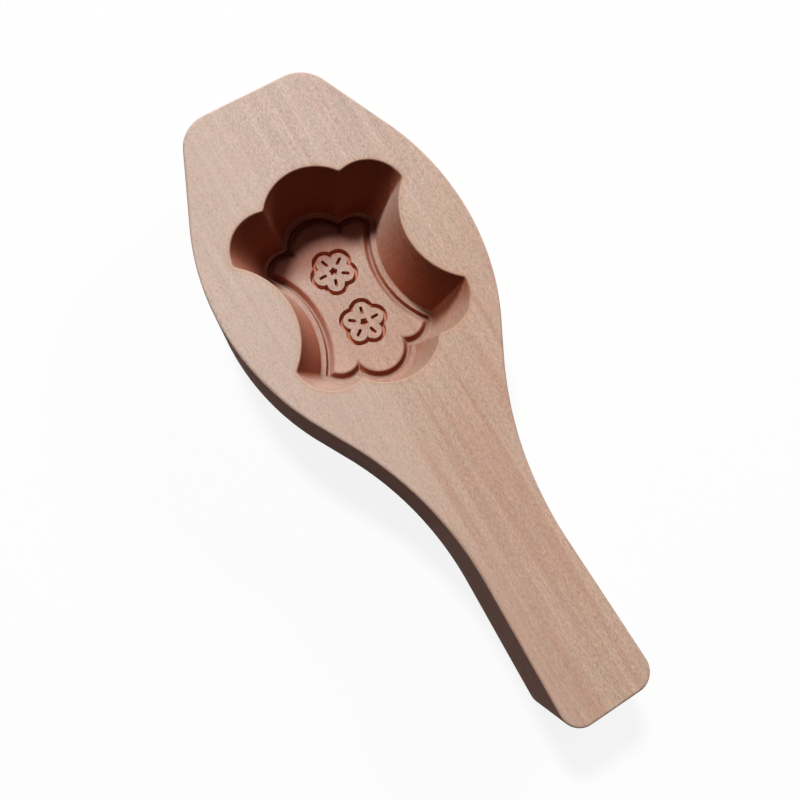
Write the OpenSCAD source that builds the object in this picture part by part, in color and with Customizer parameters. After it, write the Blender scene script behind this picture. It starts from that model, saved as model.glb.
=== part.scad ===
// Wooden mooncake mold: one board, cut to a rounded head and a narrow handle, with a lobed
// pocket carved in the head. Dough is pressed into the pocket and knocked out over the head end.
// Lengths are in millimetres. The board lies flat with its pocket upward: X runs from the head
// to the handle, Z points up, and the origin is under the middle of the board.

/* [Board] */
// Length from the head end to the handle end
board_l = 200; // [190:1:230]
// Thickness of the board
board_t = 34; // [31:0.5:42]
// Width across the widest part of the head
head_w = 78.5; // [76:0.5:90]
// Distance from the head end to the widest part
head_x = 58.6; // [54:0.2:66]
// Radius of the sides where the head is widest
head_r = 76; // [64:1:84]
// Angle at which each side closes in toward the head end
head_angle = 24.2; // [18:0.1:26]
// Corner radius at the head end
head_corner_r = 11; // [6:0.5:14]

/* [Handle] */
// Width of the handle where it is narrowest
neck_w = 25.8; // [22:0.2:28]
// Radius of the hollow curve from the head into the handle
neck_r = 102; // [84:1:112]
// Angle at which each side runs in from the head to the handle
flank_angle = 28.3; // [25:0.1:30]
// Angle at which each side of the handle opens toward its end
handle_angle = 1.7; // [0.5:0.1:3]
// Corner radius at the handle end
handle_corner_r = 6; // [3:0.5:10]

/* [Pocket mouth] */
// Distance from the head end to the middle of the pocket
pocket_x = 61.4; // [56:0.2:66]
// Distance of each end lobe's centre from the middle of the pocket
end_lobe_x = 18.7; // [17:0.1:21]
// Radius of the two end lobes at the mouth
end_lobe_r = 15.5; // [14.5:0.1:17]
// Distance of the corner lobes' centres from the middle, along the board
corner_lobe_x = 16.6; // [15.4:0.1:18]
// Distance of the corner lobes' centres from the middle, across the board
corner_lobe_y = 16.1; // [15:0.1:18]
// Radius of the four corner lobes at the mouth
corner_lobe_r = 11.7; // [11:0.1:13]
// Width of the mouth between its two waists
waist_w = 38.9; // [37:0.1:42]
// Radius of the two waists at the mouth
waist_r = 22.1; // [20:0.1:24]

/* [Pocket walls and floor] */
// Depth from the top face to the raised field in the floor
pocket_d = 24; // [16:0.5:26]
// Height of the field above the ledge round the floor
ledge_drop = 0.6; // [0.2:0.1:1.5]
// Depth of the border groove below the field
groove_drop = 2.5; // [1.6:0.1:3.2]
// How far the lobes' walls lean in between the mouth and the ledge
lobe_lean = 4.2; // [2:0.1:4.6]
// How far the waists' walls lean in between the mouth and the ledge
waist_lean = 5.2; // [3:0.1:6]
// How far the corner lobes draw together along the board by the ledge
corner_draw_x = 0.7; // [0:0.1:1.5]
// How far the corner lobes draw together across the board by the ledge
corner_draw_y = 3.5; // [2.5:0.1:4]
// Width of the ledge at the foot of the wall
ledge_w = 1.8; // [1.5:0.1:2.2]
// Width of the border groove
groove_w = 2.3; // [1.5:0.1:2.6]
// How much fuller the field's corner lobes are than an even border leaves them
corner_fullness = 2.2; // [1.6:0.1:2.6]
// How much fuller the field's end lobes are than an even border leaves them
end_fullness = 0.6; // [0.2:0.1:1]

/* [Engraving] */
// Diameter of each blossom engraved in the field
blossom_d = 15.5; // [12:0.1:16]
// Distance of each blossom's centre from the middle of the pocket
blossom_x = 9.3; // [8.4:0.1:11]
// Radius of a blossom's petals
petal_r = 4; // [3.6:0.1:4.4]
// Width of the engraved line round a blossom
petal_line_w = 1.3; // [0.8:0.1:1.5]
// Width of the engraved stamens
stamen_w = 1; // [0.6:0.1:1.2]
// Length of the engraved stamens, centre to centre of their round ends
stamen_l = 1.6; // [1:0.1:2]
// Diameter of the dot in the middle of a blossom
blossom_eye_d = 2.2; // [1.6:0.1:2.6]
// Depth of the engraving below the field
engraving_d = 2; // [0.8:0.1:2.4]

/* [Hidden] */
wood = "#d6ac92";
$fn = 96;

// How far a cutting shape runs past the face that it cuts
past = 4;
// How far straight sides lie inside the rounds that they run into, so that the two cross
hair = 0.01;

// Where the sides of the head touch the round of the belly
belly_y = head_w / 2 - head_r;
belly_start = [head_x - head_r * sin(head_angle), belly_y + head_r * cos(head_angle)];
belly_end = [head_x + head_r * sin(flank_angle), belly_y + head_r * cos(flank_angle)];

// The straight flank between the belly and the hollow of the neck
neck_fall = neck_r * (1 - cos(flank_angle));
flank_l = (belly_end.y - neck_w / 2 - neck_fall) / sin(flank_angle);
flank_end = belly_end + flank_l * [cos(flank_angle), -sin(flank_angle)];
neck_x = flank_end.x + neck_r * sin(flank_angle);
neck_y = neck_w / 2 + neck_r;
neck_end = [neck_x + neck_r * sin(handle_angle), neck_y - neck_r * cos(handle_angle)];

// Centres of the corner rounds, each one radius inside the two sides that it joins
head_side_y = belly_start.y - belly_start.x * tan(head_angle);
head_corner_y = head_side_y + head_corner_r * tan(head_angle) - head_corner_r / cos(head_angle);
head_corner = [head_corner_r, head_corner_y];
handle_corner_x = board_l - handle_corner_r;
handle_side_y = neck_end.y + (handle_corner_x - neck_end.x) * tan(handle_angle);
handle_corner = [handle_corner_x, handle_side_y - handle_corner_r / cos(handle_angle)];

// One side of the board, from the head end to the handle end, with its curves as chords
side = [
    [0, head_corner.y],
    head_corner + (head_corner_r - hair) * [-sin(head_angle), cos(head_angle)],
    belly_start - hair * [-sin(head_angle), cos(head_angle)],
    belly_end - hair * [sin(flank_angle), cos(flank_angle)],
    flank_end - hair * [sin(flank_angle), cos(flank_angle)],
    neck_end - hair * [-sin(handle_angle), cos(handle_angle)],
    handle_corner + (handle_corner_r - hair) * [-sin(handle_angle), cos(handle_angle)],
    [board_l, handle_corner.y]
];
other_side = [for (i = [len(side) - 1:-1:0]) [side[i].x, -side[i].y]];

// Heights of the floor's levels above the underside
field_z = board_t - pocket_d;
ledge_z = field_z - ledge_drop;
groove_z = field_z - groove_drop;
wall_h = board_t - ledge_z;

// Waists: their centres stay, and their wood grows thicker toward the ledge
waist_y = waist_w / 2 + waist_r;
border_w = ledge_w + groove_w;
field_waist_r = waist_r + waist_lean + border_w;

// Lobes at the foot of the wall
foot_end_r = end_lobe_r - lobe_lean;
foot_corner_r = corner_lobe_r - lobe_lean;
foot_corner = [corner_lobe_x - corner_draw_x, corner_lobe_y - corner_draw_y];

// Lobes of the raised field
field_end_x = end_lobe_x - end_fullness;
field_end_r = foot_end_r - border_w + end_fullness;
field_corner = foot_corner - [corner_fullness, corner_fullness] / 2;
field_corner_r = foot_corner_r - border_w + corner_fullness;

// Petals of a blossom
petal_x = blossom_d / 2 - petal_r;
petals = 5;

// An upright round post, standing at a height
module post(at, r, z, h) {
    translate([at.x, at.y, z]) cylinder(h = h, r = r);
}

// An upright block, centred on the lengthwise line, standing at a height
module block(half_l, half_w, z, h) {
    translate([-half_l, -half_w, z]) cube([2 * half_l, 2 * half_w, h]);
}

// The board before the pocket is carved
module board() {
    difference() {
        union() {
            linear_extrude(board_t) polygon(concat(side, other_side));
            belly();
            for (s = [-1, 1]) {
                post([head_corner.x, s * head_corner.y], head_corner_r, 0, board_t);
                post([handle_corner.x, s * handle_corner.y], handle_corner_r, 0, board_t);
            }
        }
        for (s = [-1, 1]) post([neck_x, s * neck_y], neck_r + 2 * hair, -past, board_t + 2 * past, $fn = 360);
    }
}

// The two rounded sides where the head is widest, as a lens trimmed clear of the head end
module belly() {
    intersection() {
        post([head_x, belly_y], head_r, 0, board_t, $fn = 360);
        post([head_x, -belly_y], head_r, 0, board_t, $fn = 360);
        translate([belly_start.x / 2, -head_w, 0]) cube([belly_end.x, 2 * head_w, board_t]);
    }
}

// A cone whose axis leans out from its centre at the ledge to its centre at the mouth
module leaning_cone(foot_at, foot_r, mouth_at, mouth_r) {
    run = foot_at - mouth_at;
    lean = atan(norm(run) / wall_h);
    axis_l = wall_h / cos(lean);
    taper = (mouth_r - foot_r) / axis_l;
    translate([foot_at.x, foot_at.y, ledge_z])
        rotate([0, -lean, atan2(run.y, run.x)])
            translate([0, 0, -past])
                cylinder(h = axis_l + 2 * past, r1 = foot_r - taper * past, r2 = mouth_r + taper * past);
}

// The wood of one waist, which stands into the pocket and grows thicker toward the ledge
module waist() {
    taper = waist_lean / wall_h;
    translate([0, 0, ledge_z - past])
        cylinder(
            h = wall_h + 2 * past,
            r1 = waist_r + waist_lean + taper * past,
            r2 = waist_r - taper * past
        );
}

// The pocket down to the ledge, with its walls leaning in
module pocket_walls() {
    rise = wall_h + past / 2;
    difference() {
        intersection() {
            union() {
                for (half = [0, 180]) rotate(half) {
                    leaning_cone([-end_lobe_x, 0], foot_end_r, [-end_lobe_x, 0], end_lobe_r);
                    for (s = [-1, 1]) leaning_cone(
                        [-foot_corner.x, s * foot_corner.y],
                        foot_corner_r,
                        [-corner_lobe_x, s * corner_lobe_y],
                        corner_lobe_r
                    );
                }
                block(foot_corner.x, corner_lobe_y + corner_lobe_r, ledge_z - past, rise + past);
            }
            block(end_lobe_x + 2 * end_lobe_r, corner_lobe_y + 2 * corner_lobe_r, ledge_z, rise);
        }
        for (s = [-1, 1]) translate([0, s * waist_y, 0]) waist();
    }
}

// A solid on the field's outline, or standing out all round it
module field_block(outset, z, h) {
    difference() {
        union() {
            for (half = [0, 180]) rotate(half) {
                post([-field_end_x, 0], field_end_r + outset, z, h);
                for (s = [-1, 1])
                    post([-field_corner.x, s * field_corner.y], field_corner_r + outset, z, h);
            }
            block(field_corner.x, field_corner.y + field_corner_r, z, h);
        }
        for (s = [-1, 1]) post([0, s * waist_y], field_waist_r - outset, z - past, h + 2 * past);
    }
}

// The five petals of a blossom
module petal_ring(r, z, h) {
    for (i = [0:petals - 1]) rotate(i * 360 / petals) post([petal_x, 0], r, z, h);
}

// The engraved lines of a blossom, standing on the level that they are cut down to
module blossom() {
    cut_h = engraving_d + past;
    difference() {
        petal_ring(petal_r, 0, cut_h);
        petal_ring(petal_r - petal_line_w, -past, cut_h + 2 * past);
    }
    post([0, 0], blossom_eye_d / 2, 0, cut_h);
    for (i = [0:petals - 1])
        rotate(i * 360 / petals) translate([petal_x, 0, 0]) stamen(cut_h);
}

// One stamen: a short stroke with round ends
module stamen(h) {
    for (s = [-1, 1]) post([s * stamen_l / 2, 0], stamen_w / 2, 0, h);
    block(stamen_l / 2, stamen_w / 2, 0, h);
}

// Everything that is carved out of the board, about the middle of the pocket
module pocket() {
    difference() {
        union() {
            pocket_walls();
            field_block(groove_w, groove_z, groove_drop + past);
        }
        field_block(0, groove_z - past, groove_drop + past);
    }
    for (s = [-1, 1]) translate([s * blossom_x, 0, field_z - engraving_d]) rotate(s * 90) blossom();
}

// The mold, carved from a single board
module mold_body() {
    color(wood)
        translate([-board_l / 2, 0, 0])
            difference() {
                board();
                translate([pocket_x, 0, 0]) pocket();
            }
}

mold_body();
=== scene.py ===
# Wooden mooncake mold, carved from one board of pale close-grained hardwood.
# The board lies flat with its pocket upward: X runs from the head to the handle and Z points up.
import math

import bmesh
import bpy
import numpy as np
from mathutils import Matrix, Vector, geometry, noise


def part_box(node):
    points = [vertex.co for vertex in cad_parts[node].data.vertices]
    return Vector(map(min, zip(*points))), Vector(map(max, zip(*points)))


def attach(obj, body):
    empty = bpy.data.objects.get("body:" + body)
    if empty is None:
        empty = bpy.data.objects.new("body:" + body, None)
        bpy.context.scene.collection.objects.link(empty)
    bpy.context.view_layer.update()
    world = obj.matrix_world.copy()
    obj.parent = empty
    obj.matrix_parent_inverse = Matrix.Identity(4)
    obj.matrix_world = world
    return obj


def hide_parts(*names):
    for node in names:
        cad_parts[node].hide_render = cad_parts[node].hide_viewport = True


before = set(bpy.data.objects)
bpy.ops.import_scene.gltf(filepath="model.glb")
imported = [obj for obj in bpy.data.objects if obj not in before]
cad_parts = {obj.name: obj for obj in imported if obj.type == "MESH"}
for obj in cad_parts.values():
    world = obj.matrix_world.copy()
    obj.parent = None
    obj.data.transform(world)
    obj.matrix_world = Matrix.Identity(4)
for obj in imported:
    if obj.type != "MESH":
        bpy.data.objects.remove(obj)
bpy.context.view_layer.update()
print("stage 1: frame loaded")

mm = 0.001
quarterTurn = math.pi / 2


# Camera, placed as the photograph was taken: from above, a little toward the near long side
cameraSet = {
    "place": (23.52, -43.88, 262.84),      # mm
    "turn": (9.743, -4.834, 58.859),       # degrees
    "lens": 37.96,                         # mm
    "sensor": 36,                          # mm
    "nearest": 10,                         # mm, nothing closer is drawn
}

lens = bpy.data.cameras.new("camera")
lens.lens = cameraSet["lens"]
lens.sensor_width = cameraSet["sensor"]
lens.clip_start = cameraSet["nearest"] * mm
camera = bpy.data.objects.new("camera", lens)
camera.location = [v * mm for v in cameraSet["place"]]
camera.rotation_euler = [math.radians(v) for v in cameraSet["turn"]]
bpy.context.scene.collection.objects.link(camera)
bpy.context.scene.camera = camera
print("stage 2: camera placed")


# Lines in the plane of the board, as arrays of points in mm
def arc(centre, radius, start, end, count):
    angles = np.linspace(start, end, count)
    return np.array(centre) + radius * np.column_stack([np.cos(angles), np.sin(angles)])


def evenly(line, step):
    # the same line with points at an even spacing
    along = np.concatenate([[0], np.cumsum(np.linalg.norm(np.diff(line, axis=0), axis=1))])
    at = np.linspace(0, along[-1], round(along[-1] / step) + 1)
    return np.column_stack([np.interp(at, along, line[:, k]) for k in (0, 1)])


def mirrored(half):
    # a closed loop from one side that starts and ends on the middle line
    return np.vstack([half, half[-2:0:-1] * [1, -1]])


def inward(loop):
    # at each point, the direction that leads into the loop
    along = np.roll(loop, -1, axis=0) - np.roll(loop, 1, axis=0)
    normal = np.column_stack([-along[:, 1], along[:, 0]])
    return normal / np.linalg.norm(normal, axis=1)[:, None]


def crossing(a, aRadius, b, bRadius, outward):
    # where two circles cross, on the side that the outward direction names
    a, b = np.array(a, float), np.array(b, float)
    gap = np.linalg.norm(b - a)
    along = (aRadius ** 2 - bRadius ** 2 + gap ** 2) / (2 * gap)
    across = math.sqrt(max(aRadius ** 2 - along ** 2, 0))
    forward = (b - a) / gap
    side = np.array([-forward[1], forward[0]])
    both = [a + along * forward + s * across * side for s in (-1, 1)]
    return max(both, key=lambda p: float(np.dot(p, outward)))


def bearing(point, centre):
    return math.atan2(point[1] - centre[1], point[0] - centre[0])


def rounded(corners, steps):
    # a section line whose corners are eased, each over its own distance
    corners = np.array(corners, float)
    line = [corners[0, :2]]
    for before, (*at, ease), after in zip(corners, corners[1:], corners[2:]):
        at = np.array(at)
        back, on = (ease * (p[:2] - at) / np.linalg.norm(p[:2] - at) for p in (before, after))
        for t in np.linspace(0, 1, steps):
            line.append(at + (1 - t) ** 2 * back + t ** 2 * on)
    return line + [corners[-1, :2]]


def grid(lo, hi, step):
    # the middles of square cells between two corners
    xs, ys = (np.arange(lo[k] + step / 2, hi[k], step) for k in (0, 1))
    return np.array([(x, y) for x in xs for y in ys]).reshape(-1, 2)


def insideLoop(at, loop):
    # which points lie inside a closed loop, by counting how often they cross it on the way out
    inside = np.zeros(len(at), bool)
    for (ax, ay), (bx, by) in zip(loop, np.roll(loop, -1, axis=0)):
        if ay == by:
            continue
        spans = (ay > at[:, 1]) != (by > at[:, 1])
        reach = ax + (at[:, 1] - ay) * (bx - ax) / (by - ay)
        inside ^= spans & (at[:, 0] < reach)
    return inside


def awayFrom(at, loop, distance):
    few = loop[::3]     # every third point is close enough to measure from
    gap = np.min(np.linalg.norm(at[:, None, :] - few[None, :, :], axis=2), axis=1)
    return gap > distance


# The board. Lengths are in mm and angles in degrees, and places along it count from the head end.
low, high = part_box("mold_body")

board = {
    "length": (high.x - low.x) / mm,
    "thick": (high.z - low.z) / mm,
    "headWidth": (high.y - low.y) / mm,
    "headAt": 58.6,             # where the head is widest
    "headRadius": 76,
    "headAngle": 24.2,          # how fast the sides close toward the head end
    "headCorner": 11,
    "neckWidth": 25.8,
    "neckRadius": 102,
    "flankAngle": 28.3,         # how fast the sides run in toward the neck
    "handleAngle": 1.7,         # how fast the handle opens toward its end
    "handleCorner": 6,
    "arcPoints": (40, 160),     # on a corner and on a long arc, before they are spaced evenly
    "step": 0.8,                # from one point of the outline to the next
    "sideRows": 8,              # rows of points from the top to the underside, both counted
    "arris": 0.9,               # rounding of the long edges, broken by hand with sandpaper
    "arrisSteps": 7,
    "arrisDrift": 0.35,         # how much that rounding wanders
    "driftLength": 22,          # over this distance
    "driftSeeds": (3.1, 7.7),   # for the upper edge and the lower one
    "arrisWear": 0.25,          # how much of the sanded colour it shows
    "crease": 35,               # faces that meet more steeply than this keep a sharp edge
}


def boardLoop(b):
    # corner, belly, neck and corner along one side, as arcs that meet smoothly
    head, flank, handle = (math.radians(b[k]) for k in ("headAngle", "flankAngle", "handleAngle"))
    bellyAt = np.array([b["headAt"], b["headWidth"] / 2 - b["headRadius"]])
    bellyStart = bellyAt + b["headRadius"] * np.array([-math.sin(head), math.cos(head)])
    bellyEnd = bellyAt + b["headRadius"] * np.array([math.sin(flank), math.cos(flank)])
    neckY = b["neckWidth"] / 2 + b["neckRadius"]
    drop = bellyEnd[1] - (neckY - b["neckRadius"] * math.cos(flank))
    neckAt = np.array([bellyEnd[0] + drop / math.tan(flank) + b["neckRadius"] * math.sin(flank), neckY])
    neckEnd = neckAt + b["neckRadius"] * np.array([math.sin(handle), -math.cos(handle)])
    headRound, handleRound = b["headCorner"], b["handleCorner"]
    headSide = bellyStart[1] - bellyStart[0] * math.tan(head)
    headCorner = (headRound, headSide + headRound * math.tan(head) - headRound / math.cos(head))
    endX = b["length"] - handleRound
    handleSide = neckEnd[1] + (endX - neckEnd[0]) * math.tan(handle)
    handleCorner = (endX, handleSide - handleRound / math.cos(handle))
    few, many = b["arcPoints"]
    side = evenly(np.vstack([
        [[0, 0]],
        arc(headCorner, headRound, math.pi, quarterTurn + head, few),
        arc(bellyAt, b["headRadius"], quarterTurn + head, quarterTurn - flank, many),
        arc(neckAt, b["neckRadius"], -quarterTurn - flank, -quarterTurn + handle, many),
        arc(handleCorner, handleRound, quarterTurn + handle, 0, few),
        [[b["length"], 0]],
    ]), b["step"])
    return mirrored(side * [1, -1])


def arrisWidth(b, outline, seed):
    # how wide the rounding is at each point of the outline
    drift = [noise.noise(Vector((x / b["driftLength"], y / b["driftLength"], seed))) for x, y in outline]
    return b["arris"] + b["arrisDrift"] * np.array(drift)


def outsideRings(b):
    # from the top face over the long edges and down to the underside;
    # each row is an outline, its height and how worn it is
    outline = boardLoop(b)
    toInside = inward(outline)
    upper, lower = (arrisWidth(b, outline, seed)[:, None] for seed in b["driftSeeds"])
    bend = np.linspace(0, quarterTurn, b["arrisSteps"])
    wear = [b["arrisWear"] * math.sin(2 * a) for a in bend]
    rows = []
    for a, worn in zip(bend, wear):
        loop = outline + toInside * (upper * (1 - math.sin(a)))
        rows.append((loop, b["thick"] - upper[:, 0] * (1 - math.cos(a)), worn))
    for z in np.linspace(b["thick"], 0, b["sideRows"])[1:-1]:
        rows.append((outline, z, 0))
    for a, worn in zip(bend, wear):
        loop = outline + toInside * (lower * (1 - math.cos(a)))
        rows.append((loop, lower[:, 0] * (1 - math.sin(a)), worn))
    return rows


# The pocket. Places in it count from its own middle, and its outlines are described in one quarter.
pocket = {
    "at": 61.4,                 # its middle, from the head end
    "endAt": 18.7,              # centre of the end lobe's arc
    "endRadius": 15.5,
    "cornerAt": (16.6, 16.1),   # centre of the corner lobe's arc
    "cornerRadius": 11.7,
    "waistWidth": 38.9,         # between the sides, where they bulge in most
    "waistRadius": 22.1,
    "depth": 24,                # down to the raised field
    "ledgeDrop": 0.6,           # from there down to the ledge at the wall's foot
    "lobeLean": 4.2,            # how far the lobes' walls lean in by the ledge
    "waistLean": 5.2,
    "cornerDraw": (0.7, 3.5),   # how far the corner lobes draw together by the ledge
    "ledge": 1.8,
    "groove": 2.3,
    "cornerFullness": 2.2,      # how much fuller the field's corner lobes are than the wall's
    "endFullness": 0.6,
    "grooveSection": (          # mm out from the field's edge, mm below the field, rounding
        (-0.8, 0, 0),
        (0, 0, 0.5),
        (1.35, 2.4, 0.4),
        (1.8, 2.5, 0.2),
        (2.45, 0.6, 0.25),
        (2.9, 0.6, 0),
    ),
    "rim": 0.3,                 # rounding of the mouth
    "rimGlow": 1.2,             # the rim's painted glow fades out over this distance on the top face
    "foot": 0.7,                # rounding where the wall meets the ledge
    "easeSteps": 5,             # points on each rounding in the pocket
    "ridge": 0.05,              # height of the marks that the cutter left round the wall
    "ridgePitch": 3.1,          # from one mark to the next
    "wallRows": 48,             # rows of points between the foot's rounding and the mouth's
    "oiledFrom": (8, 17),       # toward the head, where the painted shadow of the head wall on the floor starts and is full
    "borderShade": 0.4,          # how much painted shade there is round the floor's border
    "lobePoints": (36, 56, 50),     # on a quarter of an outline: end lobe, corner lobe, waist
    "softening": 3,             # passes that round the creases between lobes
}

# heights above the underside, and places from the board's middle
topZ = board["thick"]
fieldZ = topZ - pocket["depth"]
ledgeZ = fieldZ - pocket["ledgeDrop"]
headEnd = np.array([-board["length"] / 2, 0])
pocketMiddle = headEnd + [pocket["at"], 0]


def lobedLoop(end, corner, waist, p):
    # end, corner and waist are (x, y, radius) in one quarter; the loop runs right round the pocket
    first = crossing(end[:2], end[2], corner[:2], corner[2], (1, 0))
    second = crossing(corner[:2], corner[2], waist[:2], waist[2], (0, 1))
    endPoints, cornerPoints, waistPoints = p["lobePoints"]
    quarter = np.vstack([
        arc(end[:2], end[2], 0, bearing(first, end), endPoints)[:-1],
        arc(corner[:2], corner[2], bearing(first, corner), bearing(second, corner), cornerPoints)[:-1],
        arc(waist[:2], waist[2], bearing(second, waist), -quarterTurn, waistPoints),
    ])
    half = np.vstack([quarter, quarter[-2::-1] * [-1, 1]])
    loop = mirrored(half)
    for _ in range(p["softening"]):
        loop = (np.roll(loop, 1, axis=0) + 2 * loop + np.roll(loop, -1, axis=0)) / 4
    return loop


def wallLoop(p, z, outset):
    # the pocket's wall at a height between the ledge and the mouth, moved outward
    lean = 1 - (z - ledgeZ) / (topZ - ledgeZ)
    corner = [c - d * lean for c, d in zip(p["cornerAt"], p["cornerDraw"])]
    return lobedLoop(
        (p["endAt"], 0, p["endRadius"] - p["lobeLean"] * lean + outset),
        (*corner, p["cornerRadius"] - p["lobeLean"] * lean + outset),
        (0, p["waistWidth"] / 2 + p["waistRadius"], p["waistRadius"] + p["waistLean"] * lean - outset),
        p,
    )


def fieldLoop(p, outset):
    # the edge of the raised field in the floor, or a line that runs round it
    border = p["ledge"] + p["groove"]
    corner = [c - d - p["cornerFullness"] / 2 for c, d in zip(p["cornerAt"], p["cornerDraw"])]
    return lobedLoop(
        (p["endAt"] - p["endFullness"], 0,
         p["endRadius"] - p["lobeLean"] - border + p["endFullness"] + outset),
        (*corner, p["cornerRadius"] - p["lobeLean"] - border + p["cornerFullness"] + outset),
        (0, p["waistWidth"] / 2 + p["waistRadius"],
         p["waistRadius"] + p["waistLean"] + border - outset),
        p,
    )


def pocketRings(p):
    # from the field outward and up to the mouth; each row is an outline, its height and how much painted
    # glow it shows at the rim
    section = rounded(p["grooveSection"], p["easeSteps"])
    rows = [(fieldLoop(p, out), fieldZ - below, 0) for out, below in section]
    bend = np.linspace(0, quarterTurn, p["easeSteps"])
    foot, rim = p["foot"], p["rim"]
    for a in bend:
        z = ledgeZ + foot - foot * math.cos(a)
        rows.append((wallLoop(p, z, -foot + foot * math.sin(a)), z, 0))
    for z in np.linspace(ledgeZ + foot, topZ - rim, p["wallRows"])[1:-1]:
        ridge = p["ridge"] * math.sin(math.pi * (z - ledgeZ - foot) / p["ridgePitch"]) ** 2
        rows.append((wallLoop(p, z, -ridge), z, 0))
    # the rim shows a painted glow, which fades out over the ring that follows on the top face
    for a in bend:
        z = topZ - rim + rim * math.sin(a)
        rows.append((wallLoop(p, z, rim - rim * math.cos(a)), z, math.sin(a)))
    rows.append((wallLoop(p, topZ, rim + p["rimGlow"]), topZ, 0))
    return rows


# The engraving: two blossoms on the raised field, one toward the head and one toward the handle
blossom = {
    "across": 15.5,
    "at": 9.3,                  # from the middle of the pocket
    "petals": 5,
    "petalRadius": 4,
    "line": 1.3,
    "stamen": 1,
    "stamenLength": 1.6,
    "eye": 2.2,
    "depth": 2,
    "side": 0.42,               # a stroke's side curves down to full depth over this distance
    "fine": 0.13,               # point spacing at the strokes
    "margin": 0.35,             # how far that spacing goes on beside a stroke
    "coarse": 1.4,              # point spacing on the bare field
    "reach": (30, 20),          # half the length and the width that the bare field's points cover
    "edgeGap": 0.5,             # how far they keep from the field's edge
    "marginGap": 0.2,           # and from the fine points
}


def toStroke(at, b, turn):
    # distance to the nearest stroke of a blossom, below zero inside the stroke
    painted_wall_shade = np.column_stack([
        at[:, 0] * math.cos(turn) + at[:, 1] * math.sin(turn),
        at[:, 1] * math.cos(turn) - at[:, 0] * math.sin(turn),
    ])
    petalAt = b["across"] / 2 - b["petalRadius"]
    petals = np.full(len(at), np.inf)
    stamens = np.full(len(at), np.inf)
    for i in range(b["petals"]):
        a = 2 * math.pi * i / b["petals"]
        axis = np.array([math.cos(a), math.sin(a)])
        petals = np.minimum(petals, np.linalg.norm(painted_wall_shade - petalAt * axis, axis=1))
        along = np.clip(painted_wall_shade @ axis - petalAt, -b["stamenLength"] / 2, b["stamenLength"] / 2)
        foot = (petalAt + along)[:, None] * axis
        stamens = np.minimum(stamens, np.linalg.norm(painted_wall_shade - foot, axis=1) - b["stamen"] / 2)
    band = np.abs(petals - (b["petalRadius"] - b["line"] / 2)) - b["line"] / 2
    eye = np.linalg.norm(painted_wall_shade, axis=1) - b["eye"] / 2
    return np.minimum(np.minimum(band, eye), stamens)


def blossomPlaces(b):
    # the middle of each blossom and how it is turned
    return [(np.array([side * b["at"], 0]), side * quarterTurn) for side in (-1, 1)]


def fieldStroke(at, b):
    # the same distance for both blossoms
    return np.min([toStroke(at - middle, b, turn) for middle, turn in blossomPlaces(b)], axis=0)


def cutDepth(at, b):
    # strokes have a flat bottom between sides that are a quarter of an oval
    share = np.clip(-fieldStroke(at, b) / b["side"], 0, 1)
    return b["depth"] * np.sqrt(1 - (1 - share) ** 2)


def strokePoints(b):
    # a fine grid over the strokes, with the points nearest to a stroke's edge moved onto it
    found = []
    reach = b["across"] / 2 + b["margin"]
    nudge = 0.01        # mm, to find which way leads to the edge
    for middle, _ in blossomPlaces(b):
        at = middle + grid((-reach, -reach), (reach, reach), b["fine"])
        away = fieldStroke(at, b)
        slope = np.column_stack([
            fieldStroke(at + [nudge, 0], b) - fieldStroke(at - [nudge, 0], b),
            fieldStroke(at + [0, nudge], b) - fieldStroke(at - [0, nudge], b),
        ]) / (2 * nudge)
        close = np.abs(away) < b["fine"] / 2
        at[close] -= away[close, None] * slope[close]
        found.append(at[away < b["margin"]])
    return np.vstack(found)


def fieldPoints(p, b):
    # coarse on the bare wood and fine at the strokes
    edge = fieldLoop(p, p["grooveSection"][0][0])
    reach = np.array(b["reach"])
    bare = grid(-reach, reach, b["coarse"])
    bare = bare[insideLoop(bare, edge) & awayFrom(bare, edge, b["edgeGap"])]
    bare = bare[fieldStroke(bare, b) > b["margin"] + b["marginGap"]]
    return np.vstack([bare, strokePoints(b)])


# The mesh is rings of points joined by strips of faces, and flats filled with triangles
points, faces = [], []
marks = {"worn": [], "carved": [], "cut": [], "oiled": []}     # per point, what was done to the wood, and where glow and shade are painted


def addPoints(flat, z, **marked):
    start = len(points)
    heights = np.broadcast_to(z, len(flat))
    points.extend((float(x), float(y), float(h)) for (x, y), h in zip(flat, heights))
    for name, values in marks.items():
        values.extend(float(v) for v in np.broadcast_to(marked.get(name, 0), len(flat)))
    return list(range(start, len(points)))


def addRings(rows, middle, **marked):
    # a strip of faces joins each row to the next; the first and the last ring are left open
    rings = [addPoints(loop + middle, z, worn=worn, **marked) for loop, z, worn in rows]
    for ring, following in zip(rings, rings[1:]):
        for i in range(len(ring)):
            j = (i + 1) % len(ring)
            faces.append((ring[i], ring[j], following[j], following[i]))
    return rings[0], rings[-1]


def fill(rings, inside=(), depth=None, **marked):
    # triangles between an outer ring, its holes and points inside, which the depth function lowers
    known = [k for ring in rings for k in ring]
    flat = [Vector(points[k][:2]) for k in known] + [Vector(p) for p in inside]
    loops, start = [], 0
    for ring in rings:
        loops.append(list(range(start, start + len(ring))))
        start += len(ring)
    insideOnly, tolerance = 1, 1e-6
    corners, _, triangles, origins, _, within = geometry.delaunay_2d_cdt(
        flat, [], loops, insideOnly, tolerance, True,
    )
    # a triangle that lies in a hole is within the hole's loop too
    triangles = [t for t, numbers in zip(triangles, within) if list(numbers) == [0]]
    name = {}       # from a corner's number to its point's
    for i, came in enumerate(origins):
        onRing = [c for c in came if c < len(known)]
        if onRing:
            name[i] = known[onRing[0]]
    extra = [i for i in range(len(corners)) if i not in name]
    if extra:
        at = np.array([corners[i][:] for i in extra])
        below = depth(at)
        z = points[known[0]][2] - below
        name.update(zip(extra, addPoints(at, z, cut=below / below.max(), **marked)))
    faces.extend(tuple(name[i] for i in triangle) for triangle in triangles)


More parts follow.
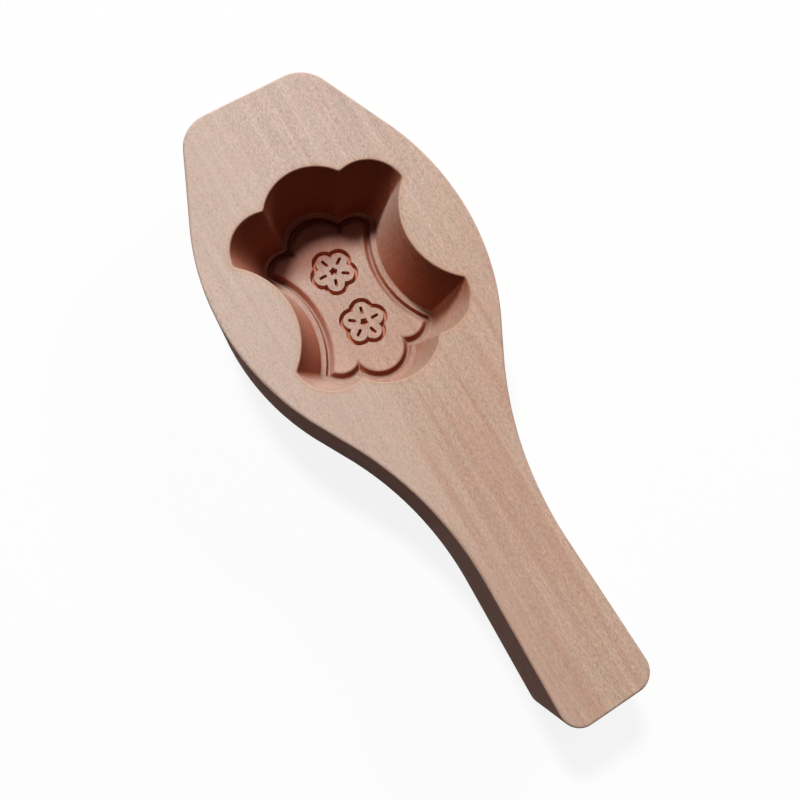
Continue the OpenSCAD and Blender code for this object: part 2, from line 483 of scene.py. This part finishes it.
def floorShadeMarks(p):
    # painted shadow: the floor is darkened toward the head, where the head wall's shadow falls, and its
    # border a little all round as painted shade
    at = np.array(points)
    headward = np.interp(pocketMiddle[0] - at[:, 0], p["oiledFrom"], (0, 1))
    onBorder = (at[:, 2] < fieldZ) & (np.array(marks["cut"]) == 0)
    oiled = np.maximum(headward, p["borderShade"] * onBorder)
    return list(np.where(at[:, 2] < ledgeZ + p["foot"], oiled, 0))


fieldRing, mouthRing = addRings(pocketRings(pocket), pocketMiddle, carved=1)
fill(
    [fieldRing],
    fieldPoints(pocket, blossom) + pocketMiddle,
    lambda at: cutDepth(at - pocketMiddle, blossom),
    carved=1,
)
marks["oiled"] = floorShadeMarks(pocket)
print("stage 3: pocket carved,", len(points), "points")

topRing, undersideRing = addRings(outsideRings(board), headEnd)
fill([topRing, mouthRing])
fill([undersideRing])

mesh = bpy.data.meshes.new("carved_board")
mesh.from_pydata([[v * mm for v in p] for p in points], [], faces)
for name, values in marks.items():
    mesh.attributes.new(name, "FLOAT", "POINT").data.foreach_set("value", values)
shell = bmesh.new()
shell.from_mesh(mesh)
bmesh.ops.recalc_face_normals(shell, faces=shell.faces)
shell.to_mesh(mesh)
shell.free()
mesh.shade_smooth()
mesh.set_sharp_from_angle(angle=math.radians(board["crease"]))
mold = bpy.data.objects.new("carved_board", mesh)
bpy.context.scene.collection.objects.link(mold)
flats = mold.modifiers.new("keep flats flat", "WEIGHTED_NORMAL")
flats.keep_sharp = True
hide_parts("mold_body")
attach(mold, "root")
print("stage 4: board shaped,", len(points), "points and", len(faces), "faces")


# Materials
white = (1, 1, 1, 1)


def linear(hexColour):
    # an sRGB hex value as Blender's linear colour
    channels = [int(hexColour[i:i + 2], 16) / 255 for i in (1, 3, 5)]
    return [c / 12.92 if c <= 0.04045 else ((c + 0.055) / 1.055) ** 2.4 for c in channels] + [1.0]


def addNode(tree, kind, links, **settings):
    # links names each input by its number or name, with a socket to join or a value to set;
    # a mix of colours has its share at input 0, the colours at 6 and 7, and its result at output 2
    node = tree.nodes.new(kind)
    for name, value in settings.items():
        setattr(node, name, value)
    for where, what in links.items():
        if isinstance(what, bpy.types.NodeSocket):
            tree.links.new(what, node.inputs[where])
        else:
            node.inputs[where].default_value = what
    return node


# Beech, steamed to a pale pinkish brown, planed and sanded by hand: fine pores and hairlines
# along the grain, faint growth rings, and a darker, speckled end grain. In the pocket, shade is
# painted a redder brown on the walls facing away from the key light, on the floor's head end and in the
# cuts.
wood = {
    "head": "#cfb7aa",
    "handle": "#c9aa97",
    "toneAt": (-85, 25),         # mm: the tone drifts from the head's to the handle's
    "toneLean": 0.9,             # and toward the far long side
    "sap": "#d4bcae",            # paler sapwood along the near long side
    "sapAt": (1, -17),           # mm from the middle line, where it starts and is full
    "pink": "#b98a73",           # redder bands, which come in toward the handle
    "ring": "#b08a74",
    "pore": "#94796b",
    "edge": "#c98f66",           # sanding wear on the long edges, and a painted glow along the pocket's rim
    "floor": "#a36a54",          # a little of it in all that was carved below the top face: painted shade of the pocket, and partly the cut wood's own tone
    "wall": "#bf5a2c",           # painted shade on the pocket's walls that face away from the key light
    "deepShade": "#763824",           # painted shade, darkest, on the walls that face most straight away from the key light
    "floorShade": "#8a3d26",            # painted shadow at the foot of the walls and on the floor's head end
    "cut": "#c4785c",            # painted shade in the narrow cuts, a redder brown that grows with their depth
    "side": "#a25f49",           # painted shade on the outer sides, redder and darker than the top face
    "endGrain": "#b38e78",
    "pith": (0, 95, -60),        # the middle of the tree lay here, mm from the middle of the underside
    "pithTurn": (0, 0.03, 0.02),     # radians, as the board wasn't cut quite along the tree
    "ringWidth": 3.4,            # mm
    "lateWood": 3.0,             # the higher, the narrower the dark part of a ring
    "wander": 9,                 # how far the rings wander, mm
    "patterns": {                # length along the grain and width across it in mm, detail, seed
        "wander": (90, 30, 1, 11),
        "cloud": (70, 16, 2, 3),
        "band": (120, 3.5, 2, 7),
        "flow": (45, 1.3, 2, 41),
        "streak": (4, 0.3, 2, 5),
        "hair": (1.0, 0.16, 1, 29),      # real hairlines are under 0.1 mm wide, drawn wider to show
        "pore": (1.3, 0.22, 1, 17),
    },
    "seedShift": (1, 0.7, 1.3),  # a seed moves its pattern this way
    "patternRoughness": 0.55,
    "light": (("cloud", 0.12), ("flow", 0.34), ("streak", 0.32), ("hair", 1.25)),   # each one's swing
    "layers": (                  # pattern, where it starts and is full, its share, its colour
        ("sapwood", 0.0, 1.0, 0.45, "sap"),
        ("band", 0.42, 0.64, 0.35, "pink"),
        ("ring", 0.0, 1.0, 0.08, "ring"),
        ("endGrain", 0.55, 0.95, 0.45, "endGrain"),
        ("pore", 0.60, 0.74, 0.4, "pore"),
        ("painted_side_shade", 0.0, 1.0, 0.6, "side"),
        ("worn", 0.0, 1.0, 0.3, "edge"),
        ("below", 0.0, 1.0, 0.13, "floor"),
        ("painted_wall_shade", 0.0, 1.0, 0.7, "wall"),
        ("painted_deep_shade", 0.0, 1.0, 0.95, "deepShade"),
        ("oiled", 0.0, 1.0, 0.65, "floorShade"),
        ("cut", 0.05, 0.5, 0.75, "cut"),
    ),
    "carvedDepth": (0.0, 0.9),   # mm below the top face, where the carved look starts and is full
    "upright": (0.8, 0.4),       # how far a face looks up, where it starts to be a wall and is one
    "shadeToward": (0.996, -0.087, 0),     # the more a wall faces this way, away from the key light, the more painted shade it gets
    "wallShadeFacing": (-1.3, 0.6),     # how far it does, where that starts and is full
    "deepShadeFacing": (-0.05, 0.85),   # the same for the darkest painted shade
    "sideGrain": 0.6,            # how much of the grain shows through the colour of walls and sides
    "glow": 0.45,                # light soaks into the wood and comes out red beside edges
    "glowReach": 0.75,           # mm
    "glowSpread": (1.0, 0.32, 0.16),
    "roughness": 0.68,
    "specular": 0.08,            # bare wood has little gloss
    "bump": 0.04,                # mm
    "bumpStrength": 0.6,
}


def grainPatterns(tree, w, inMm):
    # noise drawn out along the grain
    patterns = {}
    for name, (length, width, detail, seed) in w["patterns"].items():
        stretched = addNode(tree, "ShaderNodeMapping", {
            "Vector": inMm,
            "Location": [seed * v for v in w["seedShift"]],
            "Scale": (1 / length, 1 / width, 1 / width),
        })
        patterns[name] = addNode(tree, "ShaderNodeTexNoise", {
            "Vector": stretched.outputs[0], "Scale": 1.0,
            "Detail": detail, "Roughness": w["patternRoughness"],
        }).outputs[0]
    return patterns


def growthRings(tree, w, inMm, wander):
    # distance from the pith, pushed about by slow noise and counted in rings
    fromPith = addNode(tree, "ShaderNodeMapping", {
        "Vector": inMm, "Location": [-v for v in w["pith"]], "Rotation": w["pithTurn"], "Scale": (0, 1, 1),
    })
    radius = addNode(tree, "ShaderNodeVectorMath", {0: fromPith.outputs[0]}, operation="LENGTH")
    pushed = addNode(tree, "ShaderNodeMath", {
        0: wander, 1: w["wander"], 2: radius.outputs["Value"],
    }, operation="MULTIPLY_ADD")
    turns = addNode(tree, "ShaderNodeMath", {0: pushed.outputs[0], 1: w["ringWidth"]}, operation="DIVIDE")
    year = addNode(tree, "ShaderNodeMath", {0: turns.outputs[0]}, operation="FRACT")
    ring = addNode(tree, "ShaderNodeMath", {0: year.outputs[0], 1: w["lateWood"]}, operation="POWER")
    return ring.outputs[0]


def workMarks(tree, w, spot, normal):
    # what the tools and the years did to the wood, where its end grain shows, and where shade is painted
    masks = {
        name: addNode(tree, "ShaderNodeAttribute", {}, attribute_name=name).outputs["Fac"]
        for name in ("carved", "worn", "cut", "oiled")
    }
    facing = addNode(tree, "ShaderNodeSeparateXYZ", {0: normal})
    masks["endGrain"] = addNode(tree, "ShaderNodeMath", {
        0: facing.outputs["X"],
    }, operation="ABSOLUTE").outputs[0]
    masks["sunk"] = addNode(tree, "ShaderNodeMapRange", {
        "Value": spot.outputs["Z"],
        "From Min": topZ - w["carvedDepth"][0],
        "From Max": topZ - w["carvedDepth"][1],
    }, interpolation_type="SMOOTHSTEP").outputs[0]
    masks["upright"] = addNode(tree, "ShaderNodeMapRange", {
        "Value": facing.outputs["Z"], "From Min": w["upright"][0], "From Max": w["upright"][1],
    }, interpolation_type="SMOOTHSTEP").outputs[0]
    masks["outside"] = addNode(tree, "ShaderNodeMath", {
        0: 1.0, 1: masks["carved"],
    }, operation="SUBTRACT").outputs[0]
    toward = addNode(tree, "ShaderNodeVectorMath", {
        0: normal, 1: w["shadeToward"],
    }, operation="DOT_PRODUCT").outputs["Value"]
    for name in ("wallShadeFacing", "deepShadeFacing"):
        masks[name] = addNode(tree, "ShaderNodeMapRange", {
            "Value": toward, "From Min": w[name][0], "From Max": w[name][1],
        }, interpolation_type="SMOOTHSTEP").outputs[0]
    # painted shade: a little on all that is carved, more on the walls facing away from the key light, and
    # on the outer sides
    for name, first, second in (
        ("below", "carved", "sunk"),
        ("wall", "below", "upright"),
        ("painted_wall_shade", "wall", "wallShadeFacing"),
        ("painted_deep_shade", "wall", "deepShadeFacing"),
        ("painted_side_shade", "outside", "upright"),
    ):
        masks[name] = addNode(tree, "ShaderNodeMath", {
            0: masks[first], 1: masks[second],
        }, operation="MULTIPLY").outputs[0]
    return masks


def makeWood(w):
    material = bpy.data.materials.new("steamed beech")
    material.use_nodes = True
    tree = material.node_tree
    tree.nodes.clear()
    place = addNode(tree, "ShaderNodeTexCoord", {}).outputs["Object"]
    inMm = addNode(tree, "ShaderNodeVectorMath", {0: place, "Scale": 1 / mm}, operation="SCALE").outputs[0]
    spot = addNode(tree, "ShaderNodeSeparateXYZ", {0: inMm})
    normal = addNode(tree, "ShaderNodeNewGeometry", {}).outputs["Normal"]
    masks = grainPatterns(tree, w, inMm)
    masks["ring"] = growthRings(tree, w, inMm, masks["wander"])
    masks.update(workMarks(tree, w, spot, normal))

    # the wood's own tone
    along = addNode(tree, "ShaderNodeMath", {
        0: spot.outputs["Y"], 1: w["toneLean"], 2: spot.outputs["X"],
    }, operation="MULTIPLY_ADD")
    tone = addNode(tree, "ShaderNodeMapRange", {
        "Value": along.outputs[0], "From Min": w["toneAt"][0], "From Max": w["toneAt"][1],
    }, interpolation_type="SMOOTHSTEP")
    masks["band"] = addNode(tree, "ShaderNodeMath", {
        0: masks["band"], 1: tone.outputs[0],
    }, operation="MULTIPLY").outputs[0]
    masks["sapwood"] = addNode(tree, "ShaderNodeMapRange", {
        "Value": spot.outputs["Y"], "From Min": w["sapAt"][0], "From Max": w["sapAt"][1],
    }).outputs[0]
    colour = addNode(tree, "ShaderNodeMix", {
        0: tone.outputs[0], 6: linear(w["head"]), 7: linear(w["handle"]),
    }, data_type="RGBA").outputs[2]

    # lighter and darker grain, each pattern about its middle
    lightness = 1 - sum(swing for name, swing in w["light"]) / 2
    for name, swing in w["light"]:
        lightness = addNode(tree, "ShaderNodeMath", {
            0: masks[name], 1: swing, 2: lightness,
        }, operation="MULTIPLY_ADD").outputs[0]
    colour = addNode(tree, "ShaderNodeMix", {
        0: 1.0, 6: colour, 7: lightness,
    }, data_type="RGBA", blend_type="MULTIPLY").outputs[2]

    for name, start, full, share, tint in w["layers"]:
        amount = addNode(tree, "ShaderNodeMapRange", {
            "Value": masks[name], "From Min": start, "From Max": full, "To Max": share,
        }, interpolation_type="SMOOTHSTEP")
        colour = addNode(tree, "ShaderNodeMix", {
            0: amount.outputs[0], 6: colour, 7: linear(w[tint]),
        }, data_type="RGBA").outputs[2]

    shows = addNode(tree, "ShaderNodeMath", {0: masks["upright"], 1: w["sideGrain"]}, operation="MULTIPLY")
    colour = addNode(tree, "ShaderNodeMix", {
        0: shows.outputs[0], 6: colour, 7: lightness,
    }, data_type="RGBA", blend_type="MULTIPLY").outputs[2]

    # streaks stand up a little and pores are sunk
    relief = addNode(tree, "ShaderNodeMath", {0: masks["streak"], 1: masks["pore"]}, operation="SUBTRACT")
    bump = addNode(tree, "ShaderNodeBump", {
        "Height": relief.outputs[0], "Strength": w["bumpStrength"], "Distance": w["bump"] * mm,
    })
    surface = addNode(tree, "ShaderNodeBsdfPrincipled", {
        "Base Color": colour, "Roughness": w["roughness"], "Specular IOR Level": w["specular"],
        "Subsurface Weight": w["glow"], "Subsurface Radius": w["glowSpread"],
        "Subsurface Scale": w["glowReach"] * mm, "Normal": bump.outputs[0],
    })
    addNode(tree, "ShaderNodeOutputMaterial", {"Surface": surface.outputs[0]})
    return material


mold.data.materials.append(makeWood(wood))
print("stage 5: wood finished")


# Stage: a pale floor, a key light over the head end, a faint one from the far side, and a pale surround
studio = {
    "floor": "#f7f6f4",
    "floorSize": 4,                        # m
    "floorDrop": 0.0002,                   # m, so that it doesn't share a plane with the underside
    "floorBounce": (0.15, 0.1, 0.09, 1),   # the board is lit from it as from a warm dark table
    "floorLift": 0.88,                     # how much of the floor that the camera sees is its own light
    "lampsTo": (-0.03, 0, 0.02),           # m
    "keyFrom": (-1.45, 0.15, 2.25),
    "keySize": 0.4,
    "keyPower": 69.8,                      # W
    "fillFrom": (-0.6, 1.7, 1.05),
    "fillSize": 0.6,
    "fillPower": 12.5,
    "surround": 0.005,                     # how strongly it lights the board
}


def addLamp(name, place, target, size, power):
    lamp = bpy.data.lights.new(name, "AREA")
    lamp.shape = "DISK"
    lamp.size = size
    lamp.energy = power
    holder = bpy.data.objects.new(name, lamp)
    holder.location = place
    holder.rotation_euler = (Vector(target) - Vector(place)).to_track_quat("-Z", "Y").to_euler()
    bpy.context.scene.collection.objects.link(holder)


def seenPale(tree, plain, shown):
    # what the camera, reflections and glass see is the pale one; everything else gets the plain one
    path = addNode(tree, "ShaderNodeLightPath", {})
    either = addNode(tree, "ShaderNodeMath", {
        0: path.outputs["Is Camera Ray"], 1: path.outputs["Is Glossy Ray"],
    }, operation="MAXIMUM")
    seen = addNode(tree, "ShaderNodeMath", {
        0: either.outputs[0], 1: path.outputs["Is Transmission Ray"],
    }, operation="MAXIMUM")
    return addNode(tree, "ShaderNodeMixShader", {0: seen.outputs[0], 1: plain, 2: shown}).outputs[0]


def makeFloor(s):
    material = bpy.data.materials.new("floor")
    material.use_nodes = True
    tree = material.node_tree
    tree.nodes.clear()
    dim = addNode(tree, "ShaderNodeBsdfDiffuse", {"Color": s["floorBounce"]})
    pale = addNode(tree, "ShaderNodeBsdfDiffuse", {"Color": linear(s["floor"])})
    lift = addNode(tree, "ShaderNodeEmission", {"Color": white, "Strength": 1.0})
    lifted = addNode(tree, "ShaderNodeMixShader", {
        0: s["floorLift"], 1: pale.outputs[0], 2: lift.outputs[0],
    })
    shown = seenPale(tree, dim.outputs[0], lifted.outputs[0])
    addNode(tree, "ShaderNodeOutputMaterial", {"Surface": shown})
    half = s["floorSize"] / 2
    corners = [(-half, -half, 0), (half, -half, 0), (half, half, 0), (-half, half, 0)]
    plane = bpy.data.meshes.new("floor")
    plane.from_pydata(corners, [], [(0, 1, 2, 3)])
    plane.materials.append(material)
    floor = bpy.data.objects.new("floor", plane)
    floor.location.z = -s["floorDrop"]
    bpy.context.scene.collection.objects.link(floor)


def makeSurround(s):
    world = bpy.data.worlds.new("surround")
    world.use_nodes = True
    tree = world.node_tree
    tree.nodes.clear()
    dim = addNode(tree, "ShaderNodeBackground", {"Color": white, "Strength": s["surround"]})
    pale = addNode(tree, "ShaderNodeBackground", {"Color": white, "Strength": 1.0})
    shown = seenPale(tree, dim.outputs[0], pale.outputs[0])
    addNode(tree, "ShaderNodeOutputWorld", {"Surface": shown})
    bpy.context.scene.world = world


for name in ("key", "fill"):
    addLamp(name, studio[name + "From"], studio["lampsTo"], studio[name + "Size"], studio[name + "Power"])
makeFloor(studio)
makeSurround(studio)
bpy.context.scene.view_settings.view_transform = "Standard"
print("stage 6: stage lit")
